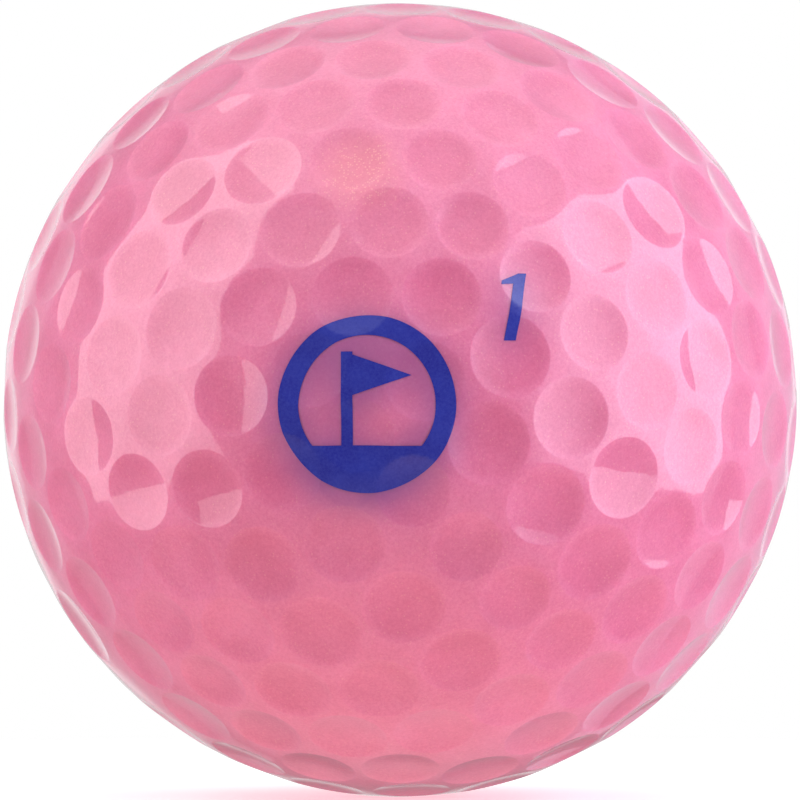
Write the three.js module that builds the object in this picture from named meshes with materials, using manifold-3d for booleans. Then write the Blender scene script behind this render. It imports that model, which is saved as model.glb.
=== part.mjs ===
// Two-piece golf ball: a solid rubber core, a dimpled cover moulded on it from two half cups, and
// a printed emblem and play number on each pole.
// Millimetres, +Z up, origin at the ball's centre. The front pole with its prints faces -Y.

import * as THREE from "three";
import { ConvexGeometry } from "three/addons/geometries/ConvexGeometry.js";
import { mergeVertices } from "three/addons/utils/BufferGeometryUtils.js";
import Module from "manifold-3d";

const wasm = await Module();
wasm.setup();

// Ball and cover
const BALL_RADIUS = 42.7 / 2;
const COVER_THICKNESS = 1.75;
const CORE_CLEARANCE = 0.1;
const PARTING_CLEARANCE = 0.1;
const CORE_DETAIL = 6;

// Dimples: rows around a tilted pattern axis, ROW_PITCH apart, each given as [count, phase in degrees]
const PATTERN_AXIS = new THREE.Vector3(0.759, -0.085, 0.645).normalize();
const ROW_PITCH = 11.5;
const ROWS = [
  [1, 0],
  [6, 18],
  [12, 14],
  [17, 1],
  [22, 10],
  [26, 8],
  [27, 9],
  [28, 10],
  [31, 2],
  [27, 13],
  [26, 1],
  [24, 13],
  [21, 16],
  [15, 15],
  [5, 38],
  [2, 10],
];
const SPREAD_REACH = 4.75;
const SPREAD_STRENGTH = 0.35;
const SPREAD_STEPS = 40;
const SMALLEST_DIMPLE = 2.4;
const LARGEST_DIMPLE = 4.72;
const DIMPLE_GROWTH = 0.04;
const LAND_WIDTH = 0.28;
const DIMPLE_DEPTH_RATIO = 0.036; // depth below the dimple's own rim plane, over its diameter
const RIM_POINTS = 10;
const FLOOR_POINTS = 5;
const FLOOR_RATIO = 0.55; // radius of the inner ring over the dimple's radius

// Prints, in the plane seen from -Y: x to the right, y up
const INK_CLEARANCE = 0.03;
const INK_THICKNESS = 0.1;
const EMBLEM_CENTRE = [-1.7, -0.2];
const EMBLEM_RADIUS = 4.6;
const EMBLEM_RING = 1.05;
const EMBLEM_GREEN_ANGLE = 32; // degrees below the middle where the green's flat top meets the ring
const EMBLEM_POLE = [[-1.35, -2.6], [-0.75, -2.6], [-0.75, 2.7], [-1.35, 2.7]];
const EMBLEM_PENNANT = [[-1.2, 2.7], [-1.2, 0.3], [2.3, 1.5]];
const NUMBER_CENTRE = [6.0, 4.85];
const NUMBER_HEIGHT = 3.5;
const NUMBER_STROKE = 0.62;
const NUMBER_SLANT = 0.16;

const rubber = new THREE.MeshStandardMaterial({ color: 0xf3d9df, roughness: 0.6, metalness: 0 });
const ionomer = new THREE.MeshStandardMaterial({ color: 0xe97ba5, roughness: 0.15, metalness: 0 });
const ink = new THREE.MeshStandardMaterial({ color: 0x2b3496, roughness: 0.3, metalness: 0 });

// ---- Joining and cutting ----

function solidOf(geometry) {
  const bare = geometry.clone();
  bare.deleteAttribute("normal");
  bare.deleteAttribute("uv");
  const merged = mergeVertices(bare, 1e-4);
  return new wasm.Manifold(
    new wasm.Mesh({
      numProp: 3,
      vertProperties: merged.getAttribute("position").array,
      triVerts: new Uint32Array(merged.index.array),
    }),
  );
}

function geometryOf(solid) {
  const { vertProperties, triVerts } = solid.getMesh();
  const geometry = new THREE.BufferGeometry();
  geometry.setAttribute("position", new THREE.BufferAttribute(vertProperties, 3));
  geometry.setIndex(new THREE.BufferAttribute(triVerts, 1));
  return geometry;
}

function meshOf(solid, name, material) {
  const geometry = geometryOf(solid);
  geometry.computeVertexNormals();
  const mesh = new THREE.Mesh(geometry, material);
  mesh.name = name;
  return mesh;
}

// A block that holds the whole ball on one side of the parting plane, side -1 for the front.
function halfSpace(side) {
  const size = 4 * BALL_RADIUS;
  const block = new THREE.BoxGeometry(size, size, size);
  return solidOf(block.translate(0, (side * (size + PARTING_CLEARANCE)) / 2, 0));
}

// ---- Dimple layout ----

// Two directions square to an axis.
function crossDirections(axis) {
  const first = new THREE.Vector3().crossVectors(axis, new THREE.Vector3(0, -1, 0)).normalize();
  return [first, new THREE.Vector3().crossVectors(axis, first)];
}

// The unit vector at an angle from an axis, turned around it.
function aroundAxis(axis, [first, second], tilt, turn) {
  return new THREE.Vector3()
    .addScaledVector(axis, Math.cos(tilt))
    .addScaledVector(first, Math.sin(tilt) * Math.cos(turn))
    .addScaledVector(second, Math.sin(tilt) * Math.sin(turn));
}

function rowCentres() {
  const sides = crossDirections(PATTERN_AXIS);
  return ROWS.flatMap(([count, phase], row) =>
    Array.from({ length: count }, (_, k) => {
      const turn = THREE.MathUtils.degToRad(phase + (360 * k) / count);
      return aroundAxis(PATTERN_AXIS, sides, THREE.MathUtils.degToRad(row * ROW_PITCH), turn);
    }),
  );
}

// Moves neighbours apart a little at a time, until the rows close up evenly.
function spread(centres) {
  for (let step = 0; step < SPREAD_STEPS; step++) {
    const pushes = centres.map((a) => {
      const push = new THREE.Vector3();
      for (const b of centres) {
        const away = a.clone().sub(b);
        const gap = away.length() * BALL_RADIUS;
        if (b !== a && gap < SPREAD_REACH) push.addScaledVector(away, (SPREAD_REACH - gap) / gap);
      }
      return push;
    });
    centres.forEach((centre, i) => centre.addScaledVector(pushes[i], SPREAD_STRENGTH).normalize());
  }
  return centres;
}

// Every dimple widens by the same steps, until a neighbour is one land away.
function diametersOf(centres) {
  const diameters = centres.map(() => SMALLEST_DIMPLE);
  const growing = new Set(centres.keys());
  const fits = (i) =>
    diameters[i] + DIMPLE_GROWTH <= LARGEST_DIMPLE &&
    centres.every((other, j) => {
      const room = centres[i].distanceTo(other) * BALL_RADIUS - LAND_WIDTH;
      return i === j || room >= (diameters[i] + diameters[j]) / 2 + DIMPLE_GROWTH;
    });
  while (growing.size) {
    const stopped = [...growing].filter((i) => !fits(i));
    stopped.forEach((i) => growing.delete(i));
    growing.forEach((i) => (diameters[i] += DIMPLE_GROWTH));
  }
  return diameters;
}

// ---- Cover ----

// How far a dimple of this diameter lies below the ball's sphere at its middle.
function depthAtMiddle(diameter) {
  const rimDrop = BALL_RADIUS - Math.sqrt(BALL_RADIUS ** 2 - (diameter / 2) ** 2);
  return rimDrop + DIMPLE_DEPTH_RATIO * diameter;
}

// Distance of the skin from the ball's centre: each dimple is a shallow bowl in the sphere.
function skinRadius(direction, centres, diameters) {
  const dimple = centres.findIndex(
    (centre, i) => centre.distanceTo(direction) * BALL_RADIUS < diameters[i] / 2,
  );
  if (dimple < 0) return BALL_RADIUS;
  const reach = centres[dimple].distanceTo(direction) * BALL_RADIUS;
  const diameter = diameters[dimple];
  return BALL_RADIUS - depthAtMiddle(diameter) * (1 - (2 * reach / diameter) ** 2);
}

// Closed outer skin: a rim, an inner ring and a middle point for each dimple.
function outerSkin() {
  const centres = spread(rowCentres());
  const diameters = diametersOf(centres);
  const directions = centres.flatMap((centre, i) => {
    const sides = crossDirections(centre);
    const ring = (count, radius) =>
      Array.from({ length: count }, (_, k) =>
        aroundAxis(centre, sides, 2 * Math.asin(radius / 2 / BALL_RADIUS), (2 * Math.PI * k) / count),
      );
    const rim = ring(RIM_POINTS, diameters[i] / 2);
    return [centre, ...rim, ...ring(FLOOR_POINTS, (FLOOR_RATIO * diameters[i]) / 2)];
  });
  const hull = new ConvexGeometry(directions);
  const position = hull.getAttribute("position");
  const point = new THREE.Vector3();
  for (let i = 0; i < position.count; i++) {
    point.fromBufferAttribute(position, i);
    point.multiplyScalar(skinRadius(point, centres, diameters));
    position.setXYZ(i, ...point);
  }
  return hull;
}

function coreBall(radius) {
  return solidOf(new THREE.IcosahedronGeometry(radius, CORE_DETAIL));
}

const skin = solidOf(outerSkin());

function coverHalf(side, name) {
  const shell = skin.subtract(coreBall(BALL_RADIUS - COVER_THICKNESS));
  return meshOf(shell.intersect(halfSpace(side)), name, ionomer);
}

// ---- Prints ----

// Outline with straight sides through the given points.
function polygon(points) {
  return new THREE.Shape(points.map(([x, y]) => new THREE.Vector2(x, y)));
}

// A ring round a pennant on its pole, which stands on a rounded green.
function emblemShapes() {
  const inside = EMBLEM_RADIUS - EMBLEM_RING;
  const ring = new THREE.Shape().absarc(0, 0, EMBLEM_RADIUS, 0, 2 * Math.PI);
  ring.holes.push(new THREE.Path().absarc(0, 0, inside, 0, 2 * Math.PI, true));
  const greenAngle = THREE.MathUtils.degToRad(EMBLEM_GREEN_ANGLE);
  const middleOfRing = inside + EMBLEM_RING / 2;
  const green = new THREE.Shape().absarc(0, 0, middleOfRing, Math.PI + greenAngle, -greenAngle);
  return [ring, green, polygon(EMBLEM_POLE), polygon(EMBLEM_PENNANT)];
}

function numberShapes() {
  const half = NUMBER_HEIGHT / 2;
  const stroke = NUMBER_STROKE / 2;
  const slanted = ([x, y]) => [x + NUMBER_SLANT * y, y];
  const outline = [
    [-stroke, -half],
    [stroke, -half],
    [stroke, half],
    [-0.1, half],
    [-0.95, half - 0.42],
    [-0.95, half - 0.62],
    [-stroke, half - 0.55],
  ];
  return [polygon(outline.map(slanted))];
}

// The part of a thin layer over the skin that the shapes cover, seen from -Y or, after half a
// turn round the vertical axis, from +Y.
function print(shapes, [x, z], turn, name) {
  const depth = BALL_RADIUS + 2 * INK_THICKNESS;
  const stamp = shapes
    .map((shape) => solidOf(new THREE.ExtrudeGeometry(shape, { depth, bevelEnabled: false })))
    .reduce((joined, solid) => joined.add(solid));
  const upright = geometryOf(stamp).rotateX(Math.PI / 2).translate(x, 0, z);
  const placed = solidOf(upright.rotateZ(turn));
  const outside = 1 + (INK_CLEARANCE + INK_THICKNESS) / BALL_RADIUS;
  const inside = 1 + INK_CLEARANCE / BALL_RADIUS;
  const layer = skin.scale(outside).intersect(placed).subtract(skin.scale(inside));
  return meshOf(layer, name, ink);
}

// ---- Assembly ----

const ball = new THREE.Group();
ball.add(meshOf(coreBall(BALL_RADIUS - COVER_THICKNESS - CORE_CLEARANCE), "core", rubber));
ball.add(coverHalf(-1, "cover_front"), coverHalf(1, "cover_back"));

for (const [pole, turn] of [["front", 0], ["back", Math.PI]]) {
  ball.add(print(emblemShapes(), EMBLEM_CENTRE, turn, "emblem_" + pole));
  ball.add(print(numberShapes(), NUMBER_CENTRE, turn, "number_" + pole));
}

export default ball;
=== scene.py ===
# Golf ball: the fine dimpled cover, the core and the pole prints, in a plain pale studio.
# Metres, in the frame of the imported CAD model: ball's centre at the origin, prints facing -Y.
import math

import bpy
import numpy as np
from mathutils.geometry import delaunay_2d_cdt
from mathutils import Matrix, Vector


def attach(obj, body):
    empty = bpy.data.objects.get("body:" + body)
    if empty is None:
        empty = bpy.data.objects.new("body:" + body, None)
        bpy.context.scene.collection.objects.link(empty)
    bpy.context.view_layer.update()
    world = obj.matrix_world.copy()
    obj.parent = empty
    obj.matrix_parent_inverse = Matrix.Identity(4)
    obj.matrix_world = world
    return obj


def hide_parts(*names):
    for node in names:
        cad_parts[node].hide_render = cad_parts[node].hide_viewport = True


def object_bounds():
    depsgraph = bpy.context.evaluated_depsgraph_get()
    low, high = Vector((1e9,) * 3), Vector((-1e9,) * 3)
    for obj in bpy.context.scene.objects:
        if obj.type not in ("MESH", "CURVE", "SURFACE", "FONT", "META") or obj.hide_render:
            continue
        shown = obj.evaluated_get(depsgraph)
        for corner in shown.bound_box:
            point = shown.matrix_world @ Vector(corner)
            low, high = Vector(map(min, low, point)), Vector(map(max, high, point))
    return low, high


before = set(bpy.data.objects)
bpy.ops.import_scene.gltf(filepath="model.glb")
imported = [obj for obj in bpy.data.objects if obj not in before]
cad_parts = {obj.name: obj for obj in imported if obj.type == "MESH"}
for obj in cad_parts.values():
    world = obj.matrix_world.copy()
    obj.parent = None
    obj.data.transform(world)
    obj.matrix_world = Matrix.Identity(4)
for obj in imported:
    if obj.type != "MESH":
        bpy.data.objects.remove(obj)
CAD_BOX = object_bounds()

MM = 0.001

# The largest sphere round the origin that stays inside the CAD model's width and height.
BALL_RADIUS = min(min(-CAD_BOX[0][k], CAD_BOX[1][k]) for k in (0, 2)) / MM

# The dimple layout, as in the CAD model, in millimetres and degrees. A row is (count, phase).
# Searches outside this script fitted the axis, the pitch and all rows but the first and the last
# to dimple centres measured in the photo.
PATTERN_AXIS = np.array([0.759, -0.085, 0.645])
ROW_PITCH = 11.5
ROWS = [(1, 0), (6, 18), (12, 14), (17, 1), (22, 10), (26, 8), (27, 9), (28, 10),
        (31, 2), (27, 13), (26, 1), (24, 13), (21, 16), (15, 15), (5, 38), (2, 10)]
SPREAD_REACH = 4.75
SPREAD_STRENGTH = 0.35
SPREAD_STEPS = 40
SMALLEST_DIMPLE = 2.4
LARGEST_DIMPLE = 4.72
DIMPLE_GROWTH = 0.04
LAND_WIDTH = 0.28
DIMPLE_DEPTH_RATIO = 0.036

# Fine mesh of the cover.
COVER_THICKNESS = 1.75
EDGE_SOFTNESS = 0.012                                 # rounding of a dimple's edge, in depth
EDGE_TAIL = 0.75                                      # where the rounding ends, in diameters
EDGE_TAIL_FADE = 0.2                                  # how far before that it starts to fade
SLOPE_STEP = 1e-4                                     # radians between two samples of the slope
RING_POINTS = 48
BOWL_RINGS = (0.2, 0.4, 0.57, 0.72, 0.83)             # as parts of the dimple's radius
EDGE_RINGS = (-0.2, -0.12, -0.06, -0.02, 0.02, 0.07)  # millimetres from the edge
INNER_RINGS = 48

# Prints, in the plane seen from -Y.
INK_LIFT = 0.012
INK_THICKNESS = 0.01
PRINT_GRID = 0.14
EMBLEM_CENTRE = (-1.7, -0.2)
EMBLEM_RADIUS = 4.6
EMBLEM_RING = 1.05
EMBLEM_GREEN_ANGLE = 32                               # degrees below the middle where the green starts
EMBLEM_POLE = [(-1.35, -2.6), (-0.75, -2.6), (-0.75, 2.7), (-1.35, 2.7)]
EMBLEM_PENNANT = [(-1.2, 2.7), (-1.2, 0.3), (2.3, 1.5)]
NUMBER_CENTRE = (6.0, 4.85)
NUMBER_HEIGHT = 3.5
NUMBER_STROKE = 0.62
NUMBER_SLANT = 0.16

# The painted shadow that the prints cast in the translucent cover, in millimetres.
INK_SHADOW_REACH = 11.0
INK_SHADOW_STEP = 0.1
INK_SHADOW_BLUR = 1.0
INK_SHADOW_STRENGTH = 1.5
INK_SHADOW_SHIFT = (-0.15, -0.5)

# Studio, in metres.
CAMERA_DISTANCE = 0.5
SENSOR_WIDTH = 36.0                                   # millimetres
BALL_IN_PICTURE = 0.9925                              # the ball's width over the picture's width
SOFTBOX_DISTANCE = 0.6
FLOOR_RADIUS = 0.09
FLOOR_FADE = 0.05
FLOOR_CORNERS = 96


# ---- Dimple layout ----

def unit(v):
    return v / np.linalg.norm(v, axis=-1, keepdims=True)


def cross_directions(axis):
    first = unit(np.cross(axis, (0, -1, 0)))
    return first, np.cross(axis, first)


def around_axis(axis, tilt, turn):
    """Unit vectors at an angle from an axis, turned around it."""
    first, second = cross_directions(axis)
    turn = np.atleast_1d(turn)[:, None]
    return math.cos(tilt) * axis + math.sin(tilt) * (np.cos(turn) * first + np.sin(turn) * second)


def row_centres():
    axis = unit(PATTERN_AXIS)
    rows = []
    for row, (count, phase) in enumerate(ROWS):
        turns = np.radians(phase + 360 * np.arange(count) / count)
        rows.append(around_axis(axis, math.radians(row * ROW_PITCH), turns))
    return np.concatenate(rows)


def spread(centres):
    """Moves neighbours apart a little at a time, until the rows close up evenly."""
    for _ in range(SPREAD_STEPS):
        away = centres[:, None] - centres[None]
        gap = np.linalg.norm(away, axis=2) * BALL_RADIUS
        np.fill_diagonal(gap, SPREAD_REACH)
        push = (away * (np.maximum(SPREAD_REACH - gap, 0) / gap)[..., None]).sum(axis=1)
        centres = unit(centres + SPREAD_STRENGTH * push)
    return centres


def diameters_of(centres):
    """Every dimple widens by the same steps, until a neighbour is one land away."""
    gap = np.linalg.norm(centres[:, None] - centres[None], axis=2) * BALL_RADIUS
    np.fill_diagonal(gap, 10 * BALL_RADIUS)
    diameters = np.full(len(centres), SMALLEST_DIMPLE)
    growing = np.ones(len(centres), bool)
    while growing.any():
        needed = (diameters[:, None] + diameters[None]) / 2 + DIMPLE_GROWTH
        growing &= (gap - LAND_WIDTH >= needed).all(axis=1)
        growing &= diameters + DIMPLE_GROWTH <= LARGEST_DIMPLE
        diameters[growing] += DIMPLE_GROWTH
    return diameters


CENTRES = spread(row_centres())
DIAMETERS = diameters_of(CENTRES)


# ---- The skin as a formula ----

def skin_radius(directions):
    """Distance of the skin from the centre: shallow bowls with rounded edges, in millimetres."""
    depth = np.zeros(len(directions))
    rim_drop = BALL_RADIUS - np.sqrt(BALL_RADIUS ** 2 - (DIAMETERS / 2) ** 2)
    middle = rim_drop + DIMPLE_DEPTH_RATIO * DIAMETERS
    for centre, diameter, deepest in zip(CENTRES, DIAMETERS, middle):
        near = np.flatnonzero(directions @ centre > math.cos(EDGE_TAIL * diameter / BALL_RADIUS))
        reach = np.linalg.norm(directions[near] - centre, axis=1) * BALL_RADIUS
        bowl = deepest * (1 - (2 * reach / diameter) ** 2)
        soft = (bowl + np.sqrt(bowl ** 2 + EDGE_SOFTNESS ** 2)) / 2
        fade = np.clip((EDGE_TAIL - reach / diameter) / EDGE_TAIL_FADE, 0, 1)
        depth[near] += soft * fade
    return BALL_RADIUS - depth


def skin_normals(directions):
    """Outward normals of the skin, from the slope of its radius."""
    skew = (0.31, 0.52, 0.79)
    first = unit(np.cross(directions, skew))
    second = np.cross(directions, first)
    radius = skin_radius(directions)
    slopes = []
    for side in (first, second):
        ahead = skin_radius(unit(directions + SLOPE_STEP * side))
        behind = skin_radius(unit(directions - SLOPE_STEP * side))
        slopes.append(((ahead - behind) / (2 * SLOPE_STEP) / radius)[:, None] * side)
    return unit(directions - slopes[0] - slopes[1])


# ---- Mesh making ----

def mesh_object(name, points, faces, normals=None, material=None):
    mesh = bpy.data.meshes.new(name)
    mesh.from_pydata((points * MM).tolist(), [], faces)
    mesh.validate()
    mesh.shade_smooth()
    if normals is not None:
        mesh.normals_split_custom_set_from_vertices(normals.tolist())
    if material:
        mesh.materials.append(material)
    piece = bpy.data.objects.new(name, mesh)
    bpy.context.collection.objects.link(piece)
    return piece


def flatten(directions, pole):
    """Stereographic map of the sphere from a pole, which keeps circles circles."""
    first, second = cross_directions(pole)
    spread_out = 1 - directions @ pole
    return np.stack([directions @ first, directions @ second], axis=1) / spread_out[:, None]


def cover_mesh():
    """Rings of points for every dimple, joined across the lands by a Delaunay triangulation."""
    turns = 2 * math.pi * np.arange(RING_POINTS) / RING_POINTS
    directions, faces, outer = [], [], []
    for centre, diameter in zip(CENTRES, DIAMETERS):
        start = sum(len(part) for part in directions)
        radii = [part * diameter / 2 for part in BOWL_RINGS]
        radii += [diameter / 2 + edge for edge in EDGE_RINGS]
        directions.append(centre[None])
        for radius in radii:
            directions.append(around_axis(centre, 2 * math.asin(radius / 2 / BALL_RADIUS), turns))
        ring = [[start + 1 + r * RING_POINTS + k for k in range(RING_POINTS)] for r in range(len(radii))]
        for k in range(RING_POINTS):
            after = (k + 1) % RING_POINTS
            faces.append((start, ring[0][after], ring[0][k]))
            for inner, wider in zip(ring, ring[1:]):
                faces.append((inner[k], inner[after], wider[after], wider[k]))
        outer.append(ring[-1])
    directions = np.concatenate(directions)
    rim = np.array(outer)
    owner = np.repeat(np.arange(len(rim)), RING_POINTS)
    flat = flatten(directions[rim.ravel()], CENTRES[0])
    triangles = delaunay_2d_cdt(flat.tolist(), [], [], 0, 1e-9)[2]
    for triangle in triangles:
        if len({owner[i] for i in triangle}) > 1:
            faces.append([rim.ravel()[i] for i in triangle])
    return directions, faces


def outward(points, faces, way=1):
    """The same faces, each turned so that it looks away from the centre, or towards it for way -1."""
    turned = []
    for face in faces:
        a, b, c = points[face[0]], points[face[1]], points[face[2]]
        looks_out = way * np.dot(np.cross(b - a, c - a), a + b + c) > 0
        turned.append(tuple(face) if looks_out else tuple(reversed(face)))
    return turned


def globe(radius, rings):
    """Points and faces of a plain sphere."""
    around = 2 * rings
    points = [np.array([[0, 0, radius]]), np.array([[0, 0, -radius]])]
    turns = 2 * math.pi * np.arange(around) / around
    for r in range(1, rings):
        tilt = math.pi * r / rings
        across, up = math.sin(tilt), math.cos(tilt)
        ring = [across * np.cos(turns), across * np.sin(turns), np.full(around, up)]
        points.append(radius * np.stack(ring, axis=1))
    faces = []
    for k in range(around):
        after = (k + 1) % around
        last = 2 + (rings - 2) * around
        faces.append((0, 2 + k, 2 + after))
        faces.append((1, last + after, last + k))
        for start in range(2, last, around):
            faces.append((start + k, start + around + k, start + around + after, start + after))
    return np.concatenate(points), faces


# ---- Prints ----

def arc(radius, start, end):
    """Points of a circle's arc in degrees, no further apart than the print grid."""
    count = max(2, int(abs(math.radians(end - start)) * radius / PRINT_GRID) + 1)
    angles = np.radians(np.linspace(start, end, count))
    return [(radius * math.cos(a), radius * math.sin(a)) for a in angles]


def finely(corners):
    """A closed outline's points, no further apart than the print grid."""
    points = []
    for here, there in zip(corners, corners[1:] + corners[:1]):
        count = max(1, round(math.dist(here, there) / PRINT_GRID))
        points += [tuple(np.add(here, np.subtract(there, here) * k / count)) for k in range(count)]
    return points


def emblem_outlines():
    """A ring round a pennant on its pole, which stands on a rounded green; the hole comes second."""
    inside = EMBLEM_RADIUS - EMBLEM_RING
    green = arc(inside + EMBLEM_RING / 2, 180 + EMBLEM_GREEN_ANGLE, 360 - EMBLEM_GREEN_ANGLE)
    ring, hole = arc(EMBLEM_RADIUS, 0, 360)[:-1], arc(inside, 0, 360)[:-1]
    return [ring, hole, finely(green), finely(EMBLEM_POLE), finely(EMBLEM_PENNANT)]


def number_outlines():
    """A slanted figure 1 with a short flag."""
    half, stroke = NUMBER_HEIGHT / 2, NUMBER_STROKE / 2
    corners = [(-stroke, -half), (stroke, -half), (stroke, half), (-0.1, half),
               (-0.95, half - 0.42), (-0.95, half - 0.62), (-stroke, half - 0.55)]
    return [finely([(x + NUMBER_SLANT * y, y) for x, y in corners])]


def within(points, outline):
    """Which points lie inside a closed outline."""
    x, y = points[:, 0], points[:, 1]
    odd = np.zeros(len(points), bool)
    for (ax, ay), (bx, by) in zip(outline, outline[1:] + outline[:1]):
        crosses = (ay > y) != (by > y)
        with np.errstate(divide="ignore", invalid="ignore"):
            odd ^= crosses & (x < (bx - ax) * (y - ay) / (by - ay) + ax)
    return odd


def emblem_covers(points):
    ring, hole, *shapes = emblem_outlines()
    covered = within(points, ring) & ~within(points, hole)
    for shape in shapes:
        covered |= within(points, shape)
    return covered


def number_covers(points):
    return within(points, number_outlines()[0])


def print_triangles(outlines, covers):
    """The printed area as a fine triangle net in the plane of the print."""
    points, edges = [], []
    for outline in outlines:
        start = len(points)
        points += outline
        edges += [(start + k, start + (k + 1) % len(outline)) for k in range(len(outline))]
    low, high = np.min(points, axis=0), np.max(points, axis=0)
    columns, rows = (np.arange(low[k], high[k], PRINT_GRID) for k in (0, 1))
    points += [(x + PRINT_GRID / 2 * (j % 2), y) for j, y in enumerate(rows) for x in columns]
    net = delaunay_2d_cdt(points, edges, [], 0, 1e-6)
    flat = np.array([tuple(v) for v in net[0]])
    faces = np.array(net[2])
    kept = faces[covers(flat[faces].mean(axis=1))]
    used, renumbered = np.unique(kept, return_inverse=True)
    return flat[used], renumbered.reshape(kept.shape)


def print_piece(name, outlines, covers, centre, turn, material):
    """A film of ink that follows the skin, seen from -Y or, turned half round, from +Y."""
    flat, faces = print_triangles(outlines, covers)
    x, z = (flat + centre).T / BALL_RADIUS
    directions = np.stack([x, -np.sqrt(1 - x ** 2 - z ** 2), z], axis=1)
    directions[:, :2] *= math.cos(turn)
    radius = skin_radius(directions)
    normals = skin_normals(directions)
    top = directions * (radius + INK_LIFT + INK_THICKNESS)[:, None]
    bottom = directions * (radius + INK_LIFT)[:, None]
    upper = outward(top, faces.tolist())
    count = len(flat)
    edges = {(a, b) for face in upper for a, b in zip(face, face[1:] + face[:1])}
    walls = [(b, a, a + count, b + count) for a, b in edges if (b, a) not in edges]
    lower = [tuple(count + i for i in reversed(face)) for face in upper]
    piece = mesh_object(name + "_ink", np.concatenate([top, bottom]), upper + lower + walls,
                        np.concatenate([normals, -normals]), material)
    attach(piece, "root")
    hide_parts(name)


# ---- Materials ----

# Reflectances, linear: red, green, blue, alpha.
WHITE = (1.0, 1.0, 1.0, 1.0)
COVER_DEEP = (0.77, 0.178, 0.355, 1.0)
COVER_PALE = (0.85, 0.215, 0.415, 1.0)
GRAIN_LIGHT = (1.1, 1.32, 1.2, 1.0)   # times the cover's own colour
DIMPLE_PAINTED_SHADE = (0.93, 0.78, 0.84, 1.0)   # painted shade in the dimples, times the cover's colour
# mica flecks, which show denser and brighter as painted sparkle in the painted glint
FLECK_AND_GLINT_COLOUR = (1.0, 0.52, 0.50, 1.0)
# painted glint: warm light reflected off the mica, painted into the colour round one place
GLINT_COLOUR = (0.95, 0.3, 0.33, 1.0)
# painted shadow of the prints, mixed into the cover's colour round the ink
INK_SHADOW_COLOUR = (0.30, 0.08, 0.31, 1.0)
INK_DEEP = (0.003, 0.007, 0.30, 1.0)
INK_PALE = (0.012, 0.024, 0.37, 1.0)
INK_GRAIN = (0.045, 0.06, 0.44, 1.0)

# Grain sizes, in features per millimetre, and places and depths in millimetres.
CLOUDS_PER_MM = 0.3
# Size of the patches where the painted shade in the dimples is stronger or weaker.
DIMPLE_SHADE_PER_MM = 0.12
GRAIN_PER_MM = 6.0
FLECKS_PER_MM = 9.0
PEEL_PER_MM = 1.6
PEEL_HEIGHT = 0.005
FLECK_HEIGHT = 0.02
GLINT_PATCH = (-2.1, -17.4, 11.8)      # middle of the painted glint, a warm patch of light reflected off the mica
GLINT_EDGES = (2.9, 1.2)               # distances from there where the painted glint starts and is strongest
DEEPEST = 0.28                        # depth of the largest dimple at its middle


def srgb(red, green, blue):
    """A colour from its 0 to 255 screen values."""
    parts = [value / 255 for value in (red, green, blue)]
    return tuple(p / 12.92 if p <= 0.04045 else ((p + 0.055) / 1.055) ** 2.4 for p in parts) + (1.0,)


class Nodes:
    """Short ways to add linked nodes to a material or a world."""

    def __init__(self, holder, shader):
        holder.use_nodes = True
        self.tree = holder.node_tree
        self.shader = self.tree.nodes[shader]

    def add(self, kind, values=None, **settings):
        node = self.tree.nodes.new(kind)
        for key, value in settings.items():
            setattr(node, key, value)
        for key, value in (values or {}).items():
            self.put(node.inputs[key], value)
        return node

    def put(self, socket, value):
        if isinstance(value, bpy.types.NodeSocket):
            self.tree.links.new(value, socket)
        else:
            socket.default_value = value

    def set(self, **values):
        for key, value in values.items():
            self.put(self.shader.inputs[key.replace("_", " ")], value)

    def mix(self, amount, first, second, blend="MIX"):
        node = self.add("ShaderNodeMix", data_type="RGBA", blend_type=blend)
        self.put(node.inputs[0], amount)
        self.put(node.inputs[6], first)
        self.put(node.inputs[7], second)
        return node.outputs[2]

    def math(self, operation, first, second=0.0, clamp=False):
        node = self.add("ShaderNodeMath", operation=operation, use_clamp=clamp)
        self.put(node.inputs[0], first)
        self.put(node.inputs[1], second)
        return node.outputs[0]

    def ramp(self, value, low, high, out_low=0.0, out_high=1.0):
        node = self.add("ShaderNodeMapRange", {"Value": value, "From Min": low, "From Max": high,
                                               "To Min": out_low, "To Max": out_high})
        return node.outputs["Result"]

    def along(self, vector, axis):
        node = self.add("ShaderNodeVectorMath", {0: vector, 1: axis}, operation="DOT_PRODUCT")
        return node.outputs["Value"]

    def place(self):
        return self.add("ShaderNodeTexCoord").outputs["Object"]

    def noise(self, per_mm, detail=3.0, roughness=0.5):
        values = {"Vector": self.place(), "Scale": per_mm / MM, "Detail": detail, "Roughness": roughness}
        return self.add("ShaderNodeTexNoise", values).outputs["Fac"]


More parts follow.
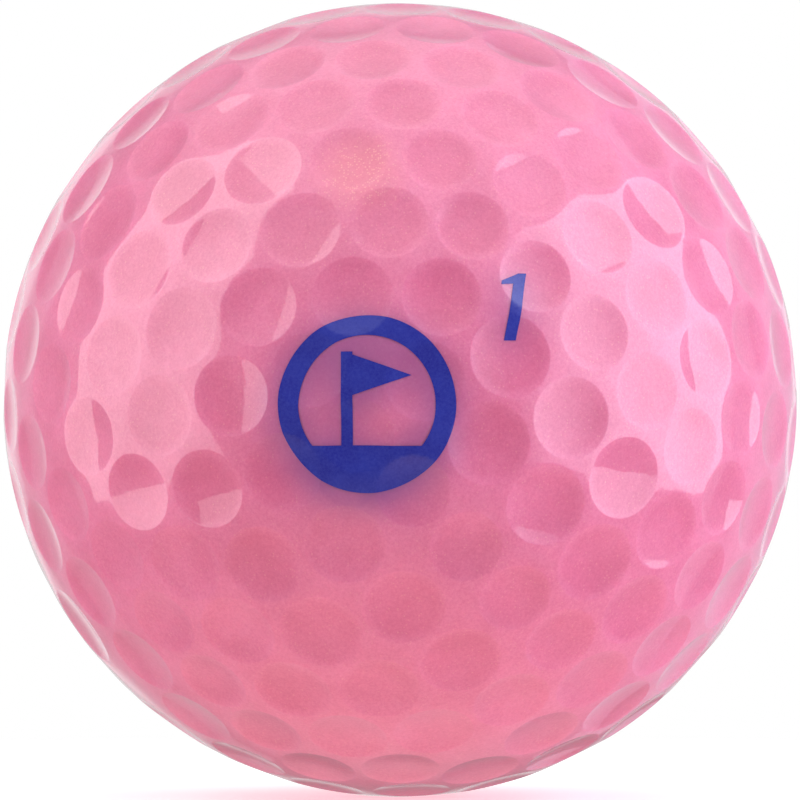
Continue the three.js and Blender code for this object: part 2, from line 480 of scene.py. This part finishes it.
def cover_material():
    """Translucent pearl pink ionomer with fine mica flecks, under a clear gloss coat, with painted shade
    in the dimples, a painted glint and a painted shadow round the prints.
    """
    material = bpy.data.materials.new("cover_pearl_pink")
    n = Nodes(material, "Principled BSDF")
    clouds = n.noise(CLOUDS_PER_MM, 4.0, 0.6)
    base = n.mix(n.ramp(clouds, 0.35, 0.65), COVER_DEEP, COVER_PALE)

    # Painted shade: the cover darker in the dimples, most towards their middles, and more in some places
    # than in others.
    deep = n.add("ShaderNodeAttribute", attribute_name="dimple_depth").outputs["Fac"]
    shade_region = n.ramp(n.noise(DIMPLE_SHADE_PER_MM, 2.0), 0.4, 0.6, 0.25, 1.0)
    dimple_shade = n.math("MULTIPLY", n.ramp(deep, 0.0, 0.4), shade_region)
    base = n.mix(1.0, base, n.mix(dimple_shade, WHITE, DIMPLE_PAINTED_SHADE), "MULTIPLY")

    grain = n.ramp(n.noise(GRAIN_PER_MM, 4.0, 0.8), 0.36, 0.64)
    base = n.mix(grain, base, n.mix(1.0, base, GRAIN_LIGHT, "MULTIPLY"))

    # Painted glint: a warm patch of light reflected off the mica, painted into the colour round one
    # place, where the flecks also show denser and brighter as painted sparkle.
    patch = [part * MM for part in GLINT_PATCH]
    off_glint = n.add("ShaderNodeVectorMath", {0: n.place(), 1: patch}, operation="DISTANCE")
    glint = n.ramp(off_glint.outputs["Value"], GLINT_EDGES[0] * MM, GLINT_EDGES[1] * MM)
    base = n.mix(n.math("MULTIPLY", glint, 0.3), base, GLINT_COLOUR)

    cells = n.add("ShaderNodeTexVoronoi", {"Vector": n.place(), "Scale": FLECKS_PER_MM / MM})
    chance = n.add("ShaderNodeSeparateColor", {"Color": cells.outputs["Color"]})
    dot = n.ramp(cells.outputs["Distance"], 0.55, 0.3)
    picked = n.math("GREATER_THAN", chance.outputs[0], n.ramp(glint, 0.0, 1.0, 0.94, 0.7))
    fleck_and_glint = n.math("MULTIPLY", picked, dot)
    base = n.mix(n.math("MULTIPLY", fleck_and_glint, n.ramp(glint, 0.0, 1.0, 0.2, 0.5)), base, FLECK_AND_GLINT_COLOUR)

    # Painted shadow of the prints: the cover turned dark purple round the ink.
    ink_shadow_mask = n.add("ShaderNodeAttribute", attribute_name="painted_ink_shadow").outputs["Fac"]
    base = n.mix(ink_shadow_mask, base, INK_SHADOW_COLOUR)

    tilt_values = {"Strength": 0.1, "Distance": FLECK_HEIGHT * MM, "Height": chance.outputs[1]}
    tilt = n.add("ShaderNodeBump", tilt_values)
    peel_values = {"Strength": 1.0, "Distance": PEEL_HEIGHT * MM, "Height": n.noise(PEEL_PER_MM, 2.0)}
    peel = n.add("ShaderNodeBump", peel_values)
    n.set(Base_Color=base, Roughness=0.38, Normal=tilt.outputs["Normal"], IOR=1.5)
    n.set(Subsurface_Weight=0.6, Subsurface_Scale=0.7 * MM, Subsurface_Radius=(1.0, 0.45, 0.6))
    n.set(Coat_Weight=1.0, Coat_Roughness=0.03, Coat_IOR=1.5, Coat_Normal=peel.outputs["Normal"])
    return material


def core_material():
    """Matt cross-linked rubber with a little mottling."""
    material = bpy.data.materials.new("core_rubber")
    n = Nodes(material, "Principled BSDF")
    mottle = n.ramp(n.noise(0.8, 5.0, 0.6), 0.3, 0.7)
    relief = n.add("ShaderNodeBump", {"Strength": 0.3, "Distance": 0.05 * MM, "Height": n.noise(2.5)})
    n.set(Base_Color=n.mix(mottle, srgb(226, 150, 170), srgb(238, 176, 192)), Roughness=0.65)
    n.set(Normal=relief.outputs["Normal"])
    return material


def ink_material():
    """Blue pad-print ink, slightly uneven, under the same clear coat."""
    material = bpy.data.materials.new("print_ink_blue")
    n = Nodes(material, "Principled BSDF")
    base = n.mix(n.ramp(n.noise(0.7, 4.0, 0.65), 0.35, 0.65), INK_DEEP, INK_PALE)
    base = n.mix(n.ramp(n.noise(7.0, 4.0, 0.8), 0.36, 0.68, 0.0, 0.5), base, INK_GRAIN)
    n.set(Base_Color=base, Roughness=0.5, Specular_IOR_Level=0.2)
    n.set(Coat_Weight=1.0, Coat_Roughness=0.03, Coat_IOR=1.5)
    return material


# ---- Cover, core and prints ----

def painted_ink_shadow(directions):
    """How much painted shadow the ink casts on the cover round each point: the prints, blurred and
    shifted a little.
    """
    side = np.arange(-INK_SHADOW_REACH, INK_SHADOW_REACH, INK_SHADOW_STEP)
    grid = np.stack(np.meshgrid(side, side), axis=-1).reshape(-1, 2)
    inked = emblem_covers(grid - EMBLEM_CENTRE) | number_covers(grid - NUMBER_CENTRE)
    shade = inked.reshape(len(side), len(side)).astype(float)
    widths = np.arange(-3 * INK_SHADOW_BLUR, 3 * INK_SHADOW_BLUR + INK_SHADOW_STEP, INK_SHADOW_STEP) / INK_SHADOW_BLUR
    kernel = np.exp(-0.5 * widths ** 2)
    kernel /= kernel.sum()
    for axis in (0, 1):
        shade = np.apply_along_axis(np.convolve, axis, shade, kernel, "same")
    front = -np.sign(directions[:, 1])
    x = (directions[:, 0] * front * BALL_RADIUS - INK_SHADOW_SHIFT[0] + INK_SHADOW_REACH) / INK_SHADOW_STEP
    y = (directions[:, 2] * BALL_RADIUS - INK_SHADOW_SHIFT[1] + INK_SHADOW_REACH) / INK_SHADOW_STEP
    inside = (x > 0) & (x < len(side) - 1) & (y > 0) & (y < len(side) - 1)
    value = np.zeros(len(directions))
    value[inside] = shade[y[inside].round().astype(int), x[inside].round().astype(int)]
    return np.minimum(INK_SHADOW_STRENGTH * value, 1)


def make_cover(material):
    directions, faces = cover_mesh()
    radius = skin_radius(directions)
    outer = directions * radius[:, None]
    inner, inner_faces = globe(BALL_RADIUS - COVER_THICKNESS, INNER_RINGS)
    inner_faces = [tuple(len(outer) + i for i in face) for face in outward(inner, inner_faces, -1)]
    points = np.concatenate([outer, inner])
    normals = np.concatenate([skin_normals(directions), -unit(inner)])
    cover = mesh_object("cover", points, outward(outer, faces) + inner_faces, normals, material)
    values = {"painted_ink_shadow": painted_ink_shadow(directions), "dimple_depth": (BALL_RADIUS - radius) / DEEPEST}
    for name, value in values.items():
        attribute = cover.data.attributes.new(name, "FLOAT", "POINT")
        attribute.data.foreach_set("value", np.concatenate([value, np.zeros(len(inner))]))
    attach(cover, "root")
    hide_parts("cover_front", "cover_back")


def make_core(material):
    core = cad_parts["core"]
    core.data.materials.clear()
    core.data.materials.append(material)


def make_prints(material):
    for pole, turn in (("front", 0.0), ("back", math.pi)):
        print_piece("emblem_" + pole, emblem_outlines(), emblem_covers, EMBLEM_CENTRE, turn, material)
        print_piece("number_" + pole, number_outlines(), number_covers, NUMBER_CENTRE, turn, material)


# ---- Studio ----

def make_camera():
    data = bpy.data.cameras.new("camera")
    data.sensor_width = SENSOR_WIDTH
    half_view = math.asin(BALL_RADIUS * MM / CAMERA_DISTANCE)
    data.lens = SENSOR_WIDTH / 2 * BALL_IN_PICTURE / math.tan(half_view)
    camera = bpy.data.objects.new("camera", data)
    camera.location = (0, -CAMERA_DISTANCE, 0)
    camera.rotation_euler = (math.pi / 2, 0, 0)
    bpy.context.collection.objects.link(camera)
    bpy.context.scene.camera = camera


def make_softbox(name, azimuths, elevations, radiance, colour=(1, 1, 1), fade=0.0):
    """An upright area light that faces the ball and fills the given directions, in degrees:
    azimuth 0 is on the camera's side and 90 to the right. The light fades in from the first
    azimuth over the given part of its width."""
    low, high = (SOFTBOX_DISTANCE * math.tan(math.radians(angle)) for angle in elevations)
    data = bpy.data.lights.new(name, "AREA")
    data.shape = "RECTANGLE"
    data.size = 2 * SOFTBOX_DISTANCE * math.tan(math.radians(azimuths[1] - azimuths[0]) / 2)
    data.size_y = high - low
    data.energy = radiance * math.pi * data.size * data.size_y
    data.color = colour
    if fade:
        n = Nodes(data, "Emission")
        place = n.add("ShaderNodeNewGeometry").outputs["Parametric"]
        across = n.add("ShaderNodeSeparateXYZ", {"Vector": place}).outputs["X"]
        n.set(Strength=n.ramp(across, 0.0, fade))
    lamp = bpy.data.objects.new(name, data)
    turn = math.radians(sum(azimuths) / 2)
    middle = (low + high) / 2
    lamp.location = (SOFTBOX_DISTANCE * math.sin(turn), -SOFTBOX_DISTANCE * math.cos(turn), middle)
    lamp.rotation_euler = (math.pi / 2, 0, turn)
    lamp.visible_camera = False
    bpy.context.collection.objects.link(lamp)


def make_world():
    """White for the camera; for the ball, a dim room with a pale ceiling, light thrown back by the
    table, and a bright backdrop."""
    world = bpy.data.worlds.new("studio")
    n = Nodes(world, "World Output")
    seen = n.tree.nodes["Background"]
    seen.inputs["Color"].default_value = WHITE
    seen.inputs["Strength"].default_value = 1.0
    direction = n.add("ShaderNodeTexCoord").outputs["Generated"]
    room = 0.25
    ceiling = n.ramp(n.along(direction, (0, -0.1, 0.995)), 0.5, 0.9, 0.0, 0.97)
    bounce = n.ramp(n.along(direction, (0, -0.12, -0.993)), 0.45, 0.92, 0.0, 1.15)
    backdrop = n.ramp(n.along(direction, (-0.1, 0.985, 0.14)), 0.87, 0.94, 0.0, 0.45)
    colour = n.mix(ceiling, WHITE, (1.0, 0.97, 0.88, 1.0))
    colour = n.mix(bounce, colour, (1.0, 0.60, 0.55, 1.0))
    strength = n.math("ADD", n.math("ADD", room, ceiling), n.math("ADD", bounce, backdrop))
    around = n.add("ShaderNodeBackground", {"Color": colour, "Strength": strength})
    for_camera = n.add("ShaderNodeLightPath").outputs["Is Camera Ray"]
    both = n.add("ShaderNodeMixShader", {0: for_camera, 1: around.outputs[0], 2: seen.outputs[0]})
    n.set(Surface=both.outputs[0])
    bpy.context.scene.world = world


def make_floor():
    """A small round light table that the ball lies on, which fades out towards its rim."""
    turns = 2 * math.pi * np.arange(FLOOR_CORNERS) / FLOOR_CORNERS
    height = np.full(FLOOR_CORNERS, CAD_BOX[0][2])
    rim = np.stack([FLOOR_RADIUS * np.cos(turns), FLOOR_RADIUS * np.sin(turns), height], axis=1)
    material = bpy.data.materials.new("pale_floor")
    n = Nodes(material, "Principled BSDF")
    tone = n.mix(n.ramp(n.noise(0.002), 0.3, 0.7), srgb(246, 246, 246), srgb(250, 250, 250))
    from_middle = n.add("ShaderNodeVectorMath", {0: n.place()}, operation="LENGTH").outputs["Value"]
    n.set(Base_Color=tone, Roughness=0.7, Emission_Color=WHITE, Emission_Strength=0.4)
    n.set(Alpha=n.ramp(from_middle, FLOOR_RADIUS - FLOOR_FADE, FLOOR_RADIUS, 1.0, 0.0))
    floor = mesh_object("floor", rim / MM, [tuple(range(FLOOR_CORNERS))], material=material)
    floor.visible_diffuse = floor.visible_glossy = floor.visible_shadow = False


make_camera()
make_cover(cover_material())
make_core(core_material())
make_prints(ink_material())
make_floor()
make_world()
make_softbox("softbox_left", (-106, -54), (-20, 61), 1.95, (1.0, 0.98, 0.95))
make_softbox("softbox_left_back", (-168, -130), (-35, 20), 0.25, (1.0, 0.9, 0.95))
make_softbox("softbox_right", (32, 108), (-20, 48), 2.5, (0.98, 1.0, 1.12), fade=0.42)
make_softbox("softbox_right_back", (122, 166), (-35, 35), 0.38, (1.0, 0.88, 1.05))
bpy.context.scene.view_settings.view_transform = "Standard"
